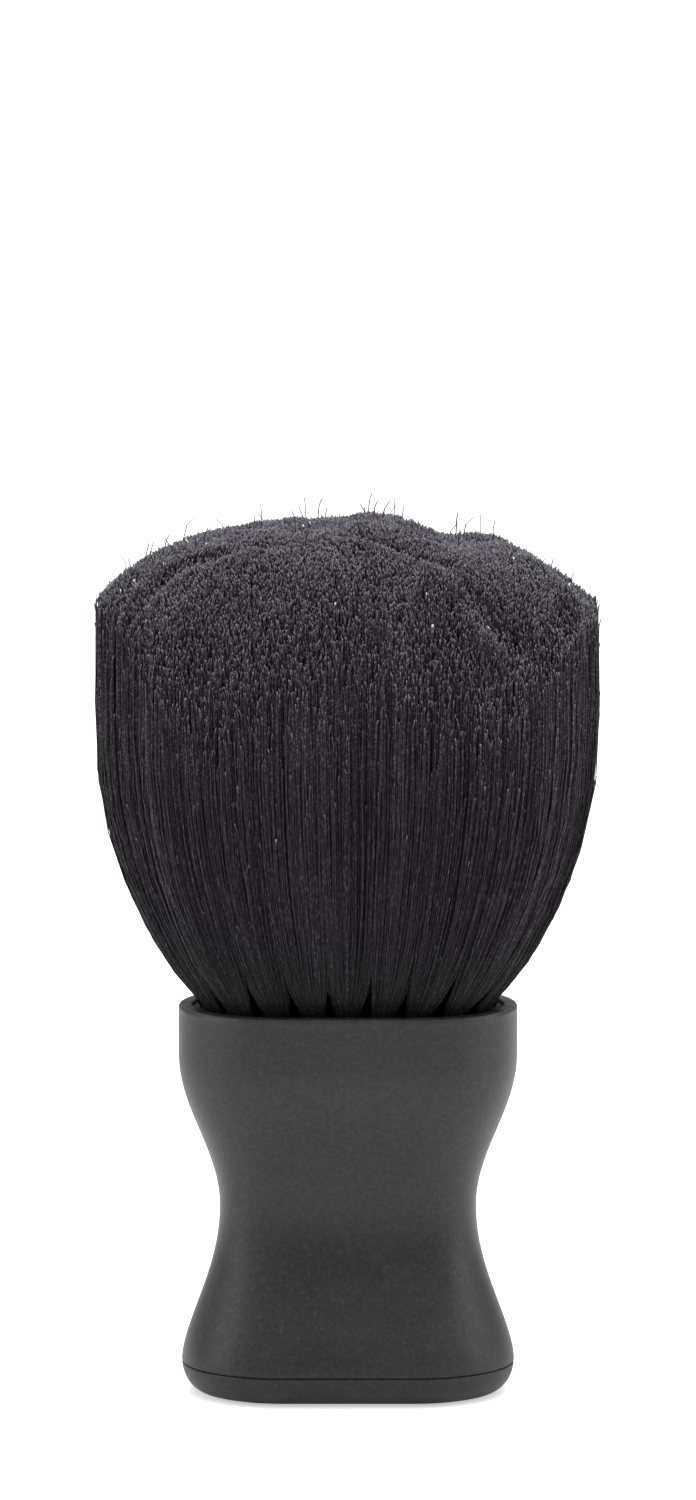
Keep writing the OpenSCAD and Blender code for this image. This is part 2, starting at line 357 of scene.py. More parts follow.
class Effects:
    """Shader node groups that the finishes share, each built once."""

    def __init__(self) -> None:
        """Builds the groups."""
        self.filament = self.build_filament()
        self.grain = self.build_grain()
        self.dust = self.build_dust()
        self.rubbed = self.build_rubbed()

    @staticmethod
    def build_filament() -> bpy.types.NodeTree:
        """Colour and roughness of a filament, from three numbers kept on the mesh.

        The colour goes from root to shaft with "depth", the root darker as painted shade low in the
        head. Flecks of the highlight colour lie on it as painted highlights, streaks low on the head
        and dots high up; they grow stronger with "shade" and weaker near the block. The cut end takes
        the highlight colour with "tip", a painted highlight. Where shade times tip passes 1.05 it is lint.

        Returns:
            The group.
        """
        w = new_group(
            "filament colour",
            {"Root": WHITE, "Shaft": WHITE, "Tip": WHITE, "Lint": WHITE},
            {"Color": "Color", "Roughness": "Float"},
        )
        tip, shade, depth = w.attribute("tip"), w.attribute("shade"), w.attribute("depth")
        # Painted shade: the shaft darkens towards the block, to the root colour at depth 0.
        shaft = w.mix(depth, w.given["Root"], w.given["Shaft"])
        high_up = w.line(depth, 2.0, -0.9)
        # Painted highlights: noise flecks of the highlight colour, weaker towards the block.
        streaks, dots = w.noise(3300.0, 2.0, (1, 1, 0.3)), w.noise(2700.0, 1.5)
        highlight_marks = w.node("Mix", {0: high_up, 2: streaks, 3: dots}, data_type="FLOAT").outputs[0]
        highlight_fleck = w.math("MULTIPLY_ADD", highlight_marks, 2.9, -1.4)
        glint = w.math("MULTIPLY", highlight_fleck, w.between(shade, 0.4, 1.0), clamp=True)
        highlighted_shaft = w.mix(w.math("MULTIPLY", glint, w.between(depth, 0.3, 1.0)), shaft, w.given["Tip"])
        # Painted highlight on the cut end, stronger with the filament's shade.
        end = w.math("MULTIPLY", tip, w.between(shade, 0.36, 1.46), clamp=True)
        with_tip_highlight = w.mix(end, highlighted_shaft, w.given["Tip"])
        lint = w.math("GREATER_THAN", w.math("MULTIPLY", shade, tip), 1.05)
        w.join(w.mix(lint, with_tip_highlight, w.given["Lint"]), w.out["Color"])
        w.join(w.between(shade, 0.8, 0.68), w.out["Roughness"])
        return w.tree

    @staticmethod
    def build_grain() -> bpy.types.NodeTree:
        """Fine moulded grain, noise plus small pits, and a slow cloudiness.

        Returns:
            The group. Its Height is about 0.7 in the middle, and its Mask goes from 0 to 1.
        """
        w = new_group(
            "moulded grain", {"Fine": 3200.0, "Cloud": 60.0}, {"Height": "Float", "Mask": "Float"}
        )
        fine = w.noise(w.given["Fine"], 3.0)
        coarser = w.math("MULTIPLY", w.given["Fine"], 0.55)
        pits = w.node("TexVoronoi", {"Vector": w.place(), "Scale": coarser}).outputs["Distance"]
        w.join(w.math("MULTIPLY_ADD", pits, 0.5, fine), w.out["Height"])
        w.join(w.line(w.noise(w.given["Cloud"], 4.0), 1.6, -0.3), w.out["Mask"])
        return w.tree

    @staticmethod
    def build_dust() -> bpy.types.NodeTree:
        """Dust, specks and a thin film of it, that lies on faces that look up.

        Returns:
            The group, whose Mask goes from 0 to 1.
        """
        w = new_group("settled dust", {"Amount": 0.3}, {"Mask": "Float"})
        up = w.axis(w.node("NewGeometry").outputs["Normal"], "Z")
        specks = w.math("GREATER_THAN", w.noise(1400.0, 1.0), 0.68)
        film = w.math("MULTIPLY", w.noise(240.0, 5.0), 0.5)
        lying = w.math("MULTIPLY", w.math("MAXIMUM", up, 0.12), w.math("ADD", specks, film))
        w.join(w.math("MULTIPLY", lying, w.given["Amount"], clamp=True), w.out["Mask"])
        return w.tree

    @staticmethod
    def build_rubbed() -> bpy.types.NodeTree:
        """Edges rubbed smooth by hands and shelves, in patches near two heights.

        Near a height h the mask is exp(-((z - h) / reach) ** 2), broken up by noise.

        Returns:
            The group, whose inputs are in metres and whose Mask goes from 0 to 1.
        """
        w = new_group("rubbed edges", {"Low": 0.0, "High": 0.06, "Reach": 0.001}, {"Mask": "Float"})
        z = w.axis(w.place(), "Z")
        low, high = (
            w.bell(w.math("DIVIDE", w.math("SUBTRACT", z, w.given[label]), w.given["Reach"]))
            for label in ("Low", "High")
        )
        patches = w.line(w.noise(320.0, 4.0), 2.6, -0.8)
        either = w.math("MAXIMUM", low, high)
        w.join(w.math("MULTIPLY", either, patches, clamp=True), w.out["Mask"])
        return w.tree


# ---------------------------------------------------------------- finishes


@dataclass(frozen=True)
class BristleFinish:
    """Soft filaments: dull black shafts with a little gloss, darker at the roots as painted shade, and
    pale cut tips and flecks that are painted highlights.

    Attributes:
        root: Colour near the block, darker than the shafts: painted shade low in the head.
        shaft: Colour of the shafts higher up.
        tip: Colour of the painted highlights: the pale cut ends and the flecks along the shafts.
        lint: Colour of the specks of lint.
    """

    # root is painted shade; shaft and lint are the filaments' own colours.
    root: Colour = (0.006, 0.0055, 0.006, 1)
    shaft: Colour = (0.0175, 0.0112, 0.0182, 1)
    # tip is the painted highlight colour of the cut ends and flecks.
    tip: Colour = (0.226, 0.214, 0.242, 1)
    lint: Colour = (0.70, 0.70, 0.71, 1)

    def material(self, effects: Effects) -> bpy.types.Material:
        """The material of the filaments and of the cores under them.

        Args:
            effects: The shared groups.

        Returns:
            The material.
        """
        made, w, shader = new_material("bristle filaments")
        colours = {"Root": self.root, "Shaft": self.shaft, "Tip": self.tip, "Lint": self.lint}
        filament = w.node("Group", colours, node_tree=effects.filament)
        w.join(filament.outputs["Color"], shader.inputs["Base Color"])
        w.join(filament.outputs["Roughness"], shader.inputs["Roughness"])
        shader.inputs["Specular IOR Level"].default_value = 0.28
        return made


@dataclass(frozen=True)
class MouldedFinish:
    """Satin moulded plastic with a fine grain and a little dust.

    Attributes:
        name: Name of the material.
        colour: Colour of the plastic.
        cloud: Colour where it is cloudy.
        roughness: Roughness where it isn't cloudy.
        dust: Amount of dust.
        parting: Whether the mould's parting line shows, on the plane between front and back.
        edges: Heights of the two rubbed edges, in mm, if any.
        peak: Colour of the peaks of the grain.
        worn: Colour of rubbed edges.
        dusty: Colour of the dust.
        grain: Bumps of the grain to the metre.
        relief: How strongly the grain shows.
    """

    name: str
    colour: Colour
    cloud: Colour
    roughness: float
    dust: float = 0.12
    parting: bool = False
    edges: tuple[float, float] | None = None
    peak: Colour = (0.034, 0.033, 0.035, 1)
    worn: Colour = (0.045, 0.044, 0.046, 1)
    dusty: Colour = (0.34, 0.32, 0.30, 1)
    grain: float = 2300.0
    relief: float = 0.34

    def material(self, effects: Effects) -> bpy.types.Material:
        """The material: clouds, peaks, rubbed edges and dust, one over the other.

        The parting line is a ridge with the section of a bell curve, 0.18 mm wide.

        Args:
            effects: The shared groups.

        Returns:
            The material.
        """
        made, w, shader = new_material(self.name)
        grain = w.node("Group", {"Fine": self.grain}, node_tree=effects.grain).outputs
        dust = w.node("Group", {"Amount": self.dust}, node_tree=effects.dust).outputs["Mask"]
        peaks = w.math("MULTIPLY", w.line(grain["Height"], 2.6, -1.6), 0.45)
        tone = w.mix(peaks, w.mix(grain["Mask"], self.colour, self.cloud), self.peak)
        rough = w.between(grain["Mask"], self.roughness, self.roughness + 0.14)
        if self.edges:
            heights = {"Low": self.edges[0] * MM, "High": self.edges[1] * MM}
            rubbed = w.node("Group", heights, node_tree=effects.rubbed).outputs["Mask"]
            tone = w.mix(w.math("MULTIPLY", rubbed, 0.6), tone, self.worn)
            rough = w.math("MULTIPLY_ADD", rubbed, -0.14, rough)
        w.join(w.mix(dust, tone, self.dusty), shader.inputs["Base Color"])
        w.join(w.math("MULTIPLY_ADD", dust, 0.5, rough, clamp=True), shader.inputs["Roughness"])
        height = w.math("MULTIPLY", grain["Height"], 0.5)
        if self.parting:
            away = w.math("DIVIDE", w.axis(w.place(), "Y"), 0.18 * MM)
            height = w.math("MULTIPLY_ADD", w.bell(away), 1.6, height)
        bump = w.node("Bump", {"Height": height, "Strength": self.relief, "Distance": 0.06 * MM})
        w.join(bump.outputs["Normal"], shader.inputs["Normal"])
        shader.inputs["Specular IOR Level"].default_value = 0.36
        return made


@dataclass(frozen=True)
class WireFinish:
    """Drawn or plated steel with fine lines along its length.

    Attributes:
        name: Name of the material.
        colour: Colour of the metal.
        dull: Colour between the drawn lines.
        roughness: Roughness where it is brightest.
    """

    name: str
    colour: Colour
    dull: Colour
    roughness: float

    def material(self, effects: Effects) -> bpy.types.Material:
        """The material, with drawn lines and the shared grain over the metal.

        Args:
            effects: The shared groups.

        Returns:
            The material.
        """
        made, w, shader = new_material(self.name)
        shader.inputs["Metallic"].default_value = 1.0
        lines = w.noise(900.0, 3.0, (1, 1, 0.08))
        grain = w.node("Group", node_tree=effects.grain).outputs["Mask"]
        w.join(w.mix(lines, self.dull, self.colour), shader.inputs["Base Color"])
        w.join(w.between(grain, self.roughness, self.roughness + 0.2), shader.inputs["Roughness"])
        bump = w.node("Bump", {"Height": lines, "Strength": 0.2, "Distance": 0.03 * MM})
        w.join(bump.outputs["Normal"], shader.inputs["Normal"])
        return made


# ---------------------------------------------------------------- oval plan


@dataclass(frozen=True)
class OvalPlan:
    """The oval that the whole brush shares: every point at one distance from a short spine.

    Attributes:
        half: Half length of the spine, in mm.
        pitch: Distance between rows of tufts, in mm.
    """

    half: float
    pitch: float = 5.2

    def length(self, offset: float) -> float:
        """Length of the ring that lies at an offset from the spine."""
        return 4 * self.half + 2 * math.pi * offset

    def point(self, along: np.ndarray, ring: float, offset: np.ndarray) -> np.ndarray:
        """Points of the plan.

        The arc length is measured on the ring at the offset `ring`, clockwise from the middle of
        the back. On a straight run the point is (arc, offset); round an end it is the end centre
        plus the offset times the direction at the angle arc / ring.

        Args:
            along: Arc lengths on the ring, in mm.
            ring: Offset of that ring, in mm.
            offset: How far each point really lies from the spine, in mm.

        Returns:
            x and y of each point, on the last axis.
        """
        h, turn = self.half, math.pi * ring
        s = np.mod(along, self.length(ring))
        right = np.pi / 2 - np.clip(s - h, 0, turn) / ring
        left = -np.pi / 2 - np.clip(s - 3 * h - turn, 0, turn) / ring
        angle = np.where(s < 2 * h + turn, right, left)
        x = np.clip(s, 0, h) - np.clip(s - h - turn, 0, 2 * h) + np.clip(s - 3 * h - 2 * turn, 0, h)
        return np.stack([x + offset * np.cos(angle), offset * np.sin(angle)], -1)

    def locate(self, points: np.ndarray, ring: float) -> tuple[np.ndarray, np.ndarray]:
        """The reverse of `point`.

        The offset is the distance to the spine. The arc length is that of the nearest place of
        the ring, from x on a straight run and from the angle round the end centre at an end.

        Args:
            points: x and y of each place, on the last axis, in mm.
            ring: Offset of the ring on which arc lengths are measured, in mm.

        Returns:
            Arc length on the ring, and offset from the spine, of each place.
        """
        h, turn = self.half, math.pi * ring
        x, y = points[..., 0], points[..., 1]
        near = np.clip(x, -h, h)
        angle = np.arctan2(y, x - near)
        straight = np.where(y > 0, near, 2 * h + turn - near)
        right = h + (np.pi / 2 - angle) * ring
        left = 3 * h + turn + np.mod(-np.pi / 2 - angle, 2 * np.pi) * ring
        arc = np.where(x > h, right, np.where(x < -h, left, straight))
        return np.mod(arc, self.length(ring)), np.hypot(x - near, y)

    def centre(self, row: Row, index: int) -> np.ndarray:
        """Middle of one tuft hole.

        The middle row stands on the spine, one pitch apart. The others share their ring in equal
        steps of arc length.

        Args:
            row: Row of the tuft.
            index: Number of the tuft in the row.

        Returns:
            x and y, in mm.
        """
        if row is Row.CORE:
            return np.array([(index - row.count // 2) * self.pitch, 0.0])
        ring = row.number * self.pitch
        arc = (index + row.turn) * self.length(ring) / row.count
        return self.point(np.array(arc), ring, np.array(ring))


# ---------------------------------------------------------------- shape of the head


@dataclass(frozen=True)
class Groove:
    """A shallow parting in the dome, along a line through a few places of the plan.

    Attributes:
        path: Places it runs through, in mm.
        depth: How deep it is, in mm.
        width: Half width, in mm.
        lip: Rise of the bristles on its outer side, in mm.
        fade: Length over which it begins and ends, in mm.
    """

    path: tuple[tuple[float, float], ...]
    depth: float = 1.4
    width: float = 1.2
    lip: float = 0.55
    fade: float = 3.5

    def shape(self, points: np.ndarray) -> tuple[np.ndarray, np.ndarray]:
        """Fall and sideways lean of the tips near the groove.

        The fall is a bell curve of the distance to the nearest leg of the path, less a wider bell
        on the outer side. Its strength fades over the last few millimetres at both ends. The lean
        points away from the groove and is strongest one half width from it.

        Args:
            points: Places of the tips, in mm.

        Returns:
            The fall of each tip, and its lean as x and y, in mm.
        """
        legs = np.array(self.path)
        start, leg = legs[:-1], np.diff(legs, axis=0)
        span = np.linalg.norm(leg, axis=1)
        gap = points[:, None, :] - start[None]
        share = np.clip((gap * leg).sum(-1) / span**2, 0, 1)
        away = gap - share[..., None] * leg
        near = np.linalg.norm(away, axis=-1)
        rows, pick = np.arange(len(points)), near.argmin(1)
        run = np.concatenate([[0], np.cumsum(span)])
        place = run[pick] + share[rows, pick] * span[pick]
        fade = np.clip(place / self.fade, 0, 1) * np.clip((run[-1] - place) / self.fade, 0, 1)
        fade = fade * fade * (3 - 2 * fade)
        apart, away = near[rows, pick], away[rows, pick]
        outer = (away * points).sum(-1) > 0
        fall = self.depth * np.exp(-((apart / self.width) ** 2))
        rise = self.lip * np.exp(-(((apart - 2.2 * self.width) / (1.3 * self.width)) ** 2)) * outer
        push = apart / self.width * np.exp(0.5 - 0.5 * (apart / self.width) ** 2) * 0.9
        lean = away / np.maximum(apart, 1e-3)[:, None] * (push * fade)[:, None]
        return (fall - rise) * fade, lean


@dataclass
class HeadShape:
    """Outline, spread and dome of the bristle head.

    Attributes:
        plan: The oval plan with the tuft holes.
        width: Width of the spread head, in mm.
        depth: Depth of the spread head, in mm.
        height: Height of the top of the dome, in mm.
        face: Height of the face the bristles come out of, in mm.
        rise: How far above the face the head is fully spread, in mm.
        outer_pitches: Offset of the outline from the spine where the head isn't spread, in
            pitches.
        dome_drop: Fall of the dome from its middle to its edge, in mm.
        edge_drop: Extra rounding at the front and back, in mm.
        end_drop: Extra rounding at the right end, in mm; the left end has less.
        shoulder: Reach at which the extra rounding begins.
        grooves: The partings in the dome.
    """

    plan: OvalPlan
    width: float
    depth: float
    height: float
    face: float
    rise: float = 47.0
    outer_pitches: float = 2.47
    dome_drop: float = 11.5
    edge_drop: float = 12.5
    end_drop: float = 1.7
    shoulder: float = 0.62
    grooves: tuple[Groove, ...] = (
        Groove(((-34, -15.5), (-31, -14), (-24, -12.8), (-16, -12.5), (-11, -11.5))),
        Groove(((-3, -10.5), (0, -11), (7, -13), (14, -16.5), (18, -20))),
        Groove(((17, -20), (20.3, -21.4), (25, -21.8), (29.2, -20.8), (33, -16), (35, -10)), 1.6),
        Groove(((10, -17), (14, -8), (16.5, 3), (15, 18)), 1.5, 4.2, 0.0),
        Groove(((-26, 14), (-14, 17), (-2, 15), (8, 11)), 1.1, 1.4, 0.4),
        Groove(((14, 14), (24, 15.5), (31, 10)), 1.2, 1.3, 0.4),
    )

    def __post_init__(self) -> None:
        """Works out how much the plan grows from the block face to the spread head."""
        self.outer = self.outer_pitches * self.plan.pitch
        self.grow = np.array([self.width / 2 / (self.plan.half + self.outer), self.depth / 2 / self.outer])

    def growth(self, z: np.ndarray) -> np.ndarray:
        """Factor by which the plan has grown at a height, in x and y.

        The share of the full growth is 1 - (1 - s) ** 2.2, with s going from 0 at the face to 1
        where the head is fully spread.

        Args:
            z: Heights, in mm.

        Returns:
            The factors, on a new last axis.
        """
        s = np.clip((z - self.face) / self.rise, 0, 1)
        return 1 + (self.grow - 1) * (1 - (1 - s) ** 2.2)[..., None]

    def dome(self, points: np.ndarray) -> np.ndarray:
        """Height of the dome over places of the spread plan.

        The reach is a rounded-square distance from the middle, 1 at the outline. The dome falls
        with its power 2.5, a little more on the right. Past the shoulder it rounds over, most at
        the front and back and least at the left end.

        Args:
            points: Places, in mm.

        Returns:
            Heights, in mm.
        """
        x = points[:, 0]
        across, deep = np.abs(x) * 2 / self.width, np.abs(points[:, 1]) * 2 / self.depth
        reach = (across**2.6 + deep**2.6) ** (1 / 2.6)
        side = 1 + 0.05 * np.tanh(x / 12)
        end = self.end_drop * (1 - 0.6 * np.clip(-x / 20, 0, 1))
        edge = end + (self.edge_drop - end) * deep**2
        rounding = (np.maximum(0, reach - self.shoulder) / (1 - self.shoulder)) ** 2
        return self.height - self.dome_drop * side * reach**2.5 - edge * rounding

    @staticmethod
    def waves(points: np.ndarray, length: float, seed: int) -> np.ndarray:
        """Smooth random relief, about -1 to 1: a sum of ten sine waves near one wave length.

        Args:
            points: Places, in mm.
            length: Wave length, in mm.
            seed: Seed of the waves' directions, phases and lengths.

        Returns:
            The relief at each place.
        """
        rng = np.random.default_rng(seed)
        angle, phase = rng.uniform(0, 2 * np.pi, (2, 10))
        size = 2 * np.pi / length * rng.uniform(0.6, 1.5, 10)
        turn = points @ (np.stack([np.cos(angle), np.sin(angle)]) * size)
        return np.sin(turn + phase).sum(-1) / 3.2

    def relief(self, points: np.ndarray) -> tuple[np.ndarray, np.ndarray]:
        """Height and lean of the tips: the dome, long and short waves, and the grooves.

        Args:
            points: Places of the tips before they lean, in mm.

        Returns:
            The height of each tip, and its lean as x and y, in mm.
        """
        top = self.dome(points) + 0.45 * self.waves(points, 21, 5) + 0.22 * self.waves(points, 6.5, 6)
        lean = np.zeros_like(points)
        for strength, length, seeds in ((0.55, 13, (7, 8)), (0.22, 3.2, (9, 10))):
            lean += np.stack([self.waves(points, length, seed) for seed in seeds], -1) * strength
        for groove in self.grooves:
            fall, push = groove.shape(points)
            top -= fall
            lean += push
        return top, lean


# ---------------------------------------------------------------- bristles


@dataclass
class Population:
    """Facts of many filaments before they are drawn, one row for each.

    Attributes:
        row: Number of the tuft's row.
        index: Number of the tuft in the row.
        root: Place in the tuft's hole, in mm.
        tip: Place under the tip, in mm.
        top: Height of the tip, in mm.
        thick: Half thickness of the shaft, in mm.
        frizz: Sideways bend, as x and y, in mm.
        curl: How far the end turns aside, as x and y, in mm.
        loose: Whether it stands out above the others; such a one has hardly any painted highlight on its
            tip.
        cut: How far its tip ends below the place it grows towards, in mm.
        full: Whether it is drawn from its root, and not only near its tip.
    """

    row: np.ndarray
    index: np.ndarray
    root: np.ndarray
    tip: np.ndarray
    top: np.ndarray
    thick: np.ndarray
    frizz: np.ndarray
    curl: np.ndarray
    loose: np.ndarray
    cut: np.ndarray
    full: np.ndarray

    def pick(self, row: Row, index: int, full: bool) -> "Population":
        """The filaments of one tuft that are drawn from their roots, or those that aren't.

        Args:
            row: Row of the tuft.
            index: Number of the tuft in the row.
            full: Which of the two.

        Returns:
            Those filaments.
        """
        mine = (self.row == row.number) & (self.index == index) & (self.full == full)
        return Population(*(getattr(self, fact.name)[mine] for fact in fields(self)))


@dataclass
class Filaments:
    """Paths of many filaments: a row for each, then its levels from root to tip.

    Attributes:
        path: x, y and z of each level, in mm.
        radius: Half thickness of each level, in mm.
        shade: A shade of its own for each filament, from 0 to 1; 3 where its end is lint.
        tip: How near the cut tip each level is, from 0 to 1.
        depth: How far up the head each level is, from 0 to 1.
    """

    path: np.ndarray
    radius: np.ndarray
    shade: np.ndarray
    tip: np.ndarray
    depth: np.ndarray

    def mesh(self, turn: np.ndarray) -> MeshData:
        """Three-sided tubes along the paths.

        Each level is a triangle of vertices in the level plane, at angles turn, turn + 120 and
        turn + 240 degrees; quads join the levels, and a triangle closes each end.

        Args:
            turn: Angle of the first corner of each filament, in radians.

        Returns:
            The mesh.
        """
        count, levels = self.radius.shape
        angle = turn[:, None] + np.arange(3) * 2 * np.pi / 3
        around = np.stack([np.cos(angle), np.sin(angle), np.zeros_like(angle)], -1)
        points = self.path[:, :, None, :] + self.radius[:, :, None, None] * around[:, None]
        begin = np.arange(count)[:, None, None] * levels * 3
        quads = (begin + ring_faces(levels, 3)[None]).reshape(-1, 4)
        last = (levels - 1) * 3
        ends = np.array([[0, 2, 1], [last, last + 1, last + 2]])
        caps = (begin + ends[None]).reshape(-1, 3)
        shade = np.repeat(self.shade[:, None], levels, 1)
        per_level = {"shade": shade, "tip": self.tip, "depth": self.depth}
        numbers = {key: np.repeat(value.ravel(), 3) for key, value in per_level.items()}
        return MeshData(points.reshape(-1, 3) * MM, [quads, caps], numbers)


@dataclass
class BristleHead:
    """The dome of bristles: every tuft as a piece of its own, filament by filament.

    Attributes:
        shape: Outline and dome of the head.
        step: Distance between filaments at the tips, in mm.
        thick: Half thickness of a filament, in mm.
        skin: Depth of the outer layer whose filaments are drawn down to the root, in mm of
            the unspread plan.
        hole: Half width of the core in its hole, in mm.
        hole_floor: Height of the lower end of the cores, in mm.
        sunk: How far below the dome the cores end, in mm.
        stub: Length drawn of the other filaments, in mm.
        near_tip: Depths below the tip of the last levels but the tip itself, in mm.
        ladder: Levels of a filament drawn from its root, from the root up to the first of
            those, as shares of that length.
        closing: Height above the face over which the tufts close up, in mm.
        loose_share: Share of the filaments that stand out above the others.
        loose_rise: Least and most that they stand out, in mm.
        lower_share: Share of the outermost filaments that end lower, on the side.
        lower_mean: How far lower they end on average, in mm.
        lower_most: The most that they end lower, in mm.
        lint_share: Share of the filaments whose end is lint.
        frizz_most: The most that a filament bends sideways, in mm.
    """

    shape: HeadShape
    step: float = 0.256
    thick: float = 0.122
    skin: float = 1.3
    hole: float = 1.8
    hole_floor: float = 54.2
    sunk: float = 6.5
    stub: float = 8.5
    near_tip: tuple[float, float] = (1.3, 0.4)
    ladder: tuple[float, ...] = (1.0, 0.955, 0.89, 0.81, 0.7, 0.56, 0.4, 0.2, 0.0)
    closing: float = 5.5
    loose_share: float = 0.0018
    loose_rise: tuple[float, float] = (0.8, 3.8)
    lower_share: float = 0.55
    lower_mean: float = 9.0
    lower_most: float = 32.0
    lint_share: float = 0.0009
    frizz_most: float = 0.45

    def __post_init__(self) -> None:
        """Starts the random draws."""
        self.plan = self.shape.plan
        self.rng = np.random.default_rng(41)

    def tips(self) -> tuple[np.ndarray, np.ndarray]:
        """Places of all filament tips, without lean, on a shaken triangular grid.

        Returns:
            Places in the spread plan, and the same places in the unspread plan, in mm.
        """
        shape, step = self.shape, self.step
        nx, ny = int(shape.width / step) + 4, int(shape.depth / step / 0.866) + 4
        i, j = np.meshgrid(np.arange(nx) - nx / 2, np.arange(ny) - ny / 2, indexing="ij")
        odd = np.arange(ny) % 2
        grid = np.stack([(i + 0.5 * odd) * step, j * step * 0.866], -1).reshape(-1, 2)
        grid += self.rng.uniform(-0.42, 0.42, grid.shape) * step
        small = grid / shape.grow
        _, offset = self.plan.locate(small, self.plan.pitch)
        inside = offset < shape.outer + self.rng.normal(0, 0.05, len(offset))
        return grid[inside], small[inside]

    def owners(self, small: np.ndarray) -> tuple[np.ndarray, np.ndarray, np.ndarray]:
        """The tuft each filament belongs to, and where it stands in its hole.

        The row comes from the distance to the spine and the tuft from the arc length along the
        row. The place in the cell, from -1 to 1 both ways, is squeezed from a square to a disc
        the size of the hole by u * sqrt(1 - v * v / 2).

        Args:
            small: Places in the unspread plan, in mm.

        Returns:
            Row number, tuft number in the row, and place of the root, in mm.
        """
        p = self.plan.pitch
        row = np.clip(np.floor(self.plan.locate(small, p)[1] / p + 0.5), 0, 2).astype(int)
        index = np.clip(np.rint(small[:, 0] / p) + 2, 0, 4).astype(int)
        for kind in (Row.MID, Row.RIM):
            ring = kind.number * p
            steps = self.plan.locate(small, ring)[0] * kind.count / self.plan.length(ring) - kind.turn
            index = np.where(row == kind.number, np.rint(steps).astype(int) % kind.count, index)
        middle = np.zeros_like(small)
        for kind in Row:
            mine = row == kind.number
            middles = np.array([self.plan.centre(kind, i) for i in range(kind.count)])
            middle[mine] = middles[index[mine]]
        cell = np.clip((small - middle) / (p / 2), -1.15, 1.15)
        disc = cell * np.sqrt(np.maximum(0.05, 1 - cell[:, ::-1] ** 2 / 2)) * 1.9
        return row, index, middle + disc

    def populate(self) -> Population:
        """Places every filament and gives it its own height, lean, thickness and bend.

        Most tips end a little under the relief, and those near the front and back edge fall
        further. About half of the outermost ones end lower on the side. A few stand out above.

        Returns:
            The filaments.
        """
        rng, outer = self.rng, self.shape.outer
        tip, small = self.tips()
        row, index, root = self.owners(small)
        offset = self.plan.locate(small, self.plan.pitch)[1]
        count = len(tip)
        top, lean = self.shape.relief(tip)
        edge = np.clip((offset / outer - 0.8) / 0.2, 0, 1) ** 2
        ragged = 1 + 9 * edge * np.clip(np.abs(tip[:, 1]) / 18, 0.15, 1)
        top += rng.normal(-0.2, 0.16, count) - rng.exponential(0.3, count) * ragged
        lower = (offset > outer - 0.45) & (rng.random(count) < self.lower_share)
        cut = np.where(lower, np.minimum(rng.exponential(self.lower_mean, count), self.lower_most), 0)
        loose = (rng.random(count) < self.loose_share) & (edge < 0.35)
        top = top - cut + np.where(loose, rng.uniform(*self.loose_rise, count), 0)
        own, astray = rng.normal(0, 0.16, (count, 2)), rng.normal(0, 1.1, (count, 2))
        lean += own + np.where(loose[:, None], astray, 0)
        curl = rng.normal(0, 0.34, (count, 2)) * np.where(loose, 5.0, 1 - 0.4 * edge)[:, None]
        limit = np.array([self.shape.width, self.shape.depth]) / 2 + 0.15
        tip = np.clip(tip + lean, -limit, limit)
        thick = self.thick * rng.uniform(0.7, 1.15, count) * np.where(loose, 0.85, 1)
        frizz = rng.normal(0, 0.2, (count, 2)) * (1 + 1.5 * (rng.random(count) < 0.04))[:, None]
        frizz = np.clip(frizz, -self.frizz_most, self.frizz_most)
        shown = rng.random(count) <= np.choose(row, (0.0, 0.02, 0.03))
        full = (offset >= outer - self.skin) | shown
        return Population(row, index, root, tip, top, thick, frizz, curl, loose, cut, full)

    def levels(self, some: Population, full: bool) -> np.ndarray:
        """Depths below the tip at which filaments get a ring of vertices, the tip last.

        Those drawn from their roots have most of their levels near the block, where they bend.

        Args:
            some: The filaments.
            full: Whether they are drawn from their roots.

        Returns:
            One row for each filament, in mm.
        """
        if not full:
            stub = np.array([self.stub, *self.near_tip, 0.0])
            return stub * self.rng.uniform(0.9, 1.1, (len(some.top), 1))
        first, second = self.near_tip
        shaft = first + np.array(self.ladder) * (some.top - self.shape.face + 0.2)[:, None]
        return np.concatenate([shaft, np.broadcast_to([second, 0.0], (len(shaft), 2))], 1)

    def grow_filaments(self, some: Population, levels: np.ndarray) -> Filaments:
        """Filaments from their roots to their tips.

        In the unspread plan a filament moves from its root towards the place under its tip by
        the share 1 - exp(-(h / a) ** 1.4) at a height h above the face, with a near the closing
        height, and the plan grows with that height. The filament bends sideways by its frizz
        times the sine of half a turn along it, and wavers by half as much again, one and a half
        turns over its length. Its end turns aside by its curl. A few are thicker and end in lint.

        Args:
            some: The filaments.
            levels: Depths of the levels below the tip, one row for each filament, in mm.

        Returns:
            The filaments' paths.
        """
        rng, face, top = self.rng, self.shape.face, some.top[:, None]
        count = len(top)
        z = top - levels
        under = some.tip / self.shape.growth(some.top + some.cut)
        closing = self.closing * np.exp(rng.normal(0, 0.2, (count, 1)))
        closed = 1 - np.exp(-((np.maximum(z - face, 0) / closing) ** 1.4))[..., None]
        flat = (some.root[:, None] * (1 - closed) + under[:, None] * closed) * self.shape.growth(z)
        s = np.clip((z - face) / (top - face), 0, 1)
        waver = np.sin(3 * np.pi * s + rng.uniform(0, 2 * np.pi, (count, 1))) * np.sin(np.pi * s)
        flat += np.sin(np.pi * s**1.5)[..., None] * some.frizz[:, None]
        flat += 0.5 * waver[..., None] * some.frizz[:, None, ::-1]
        inner = (s > 0.03) & (levels > 1.5)
        flat += rng.normal(0, 0.045, flat.shape) * inner[..., None]
        turned = np.where(some.loose, 3.0, 1.4)[:, None]
        flat += np.clip(1 - levels / turned, 0, 1)[..., None] * some.curl[:, None]
        near = np.clip(1 - levels / 0.5, 0, 1)
        shade = rng.beta(0.8, 1.7, count)
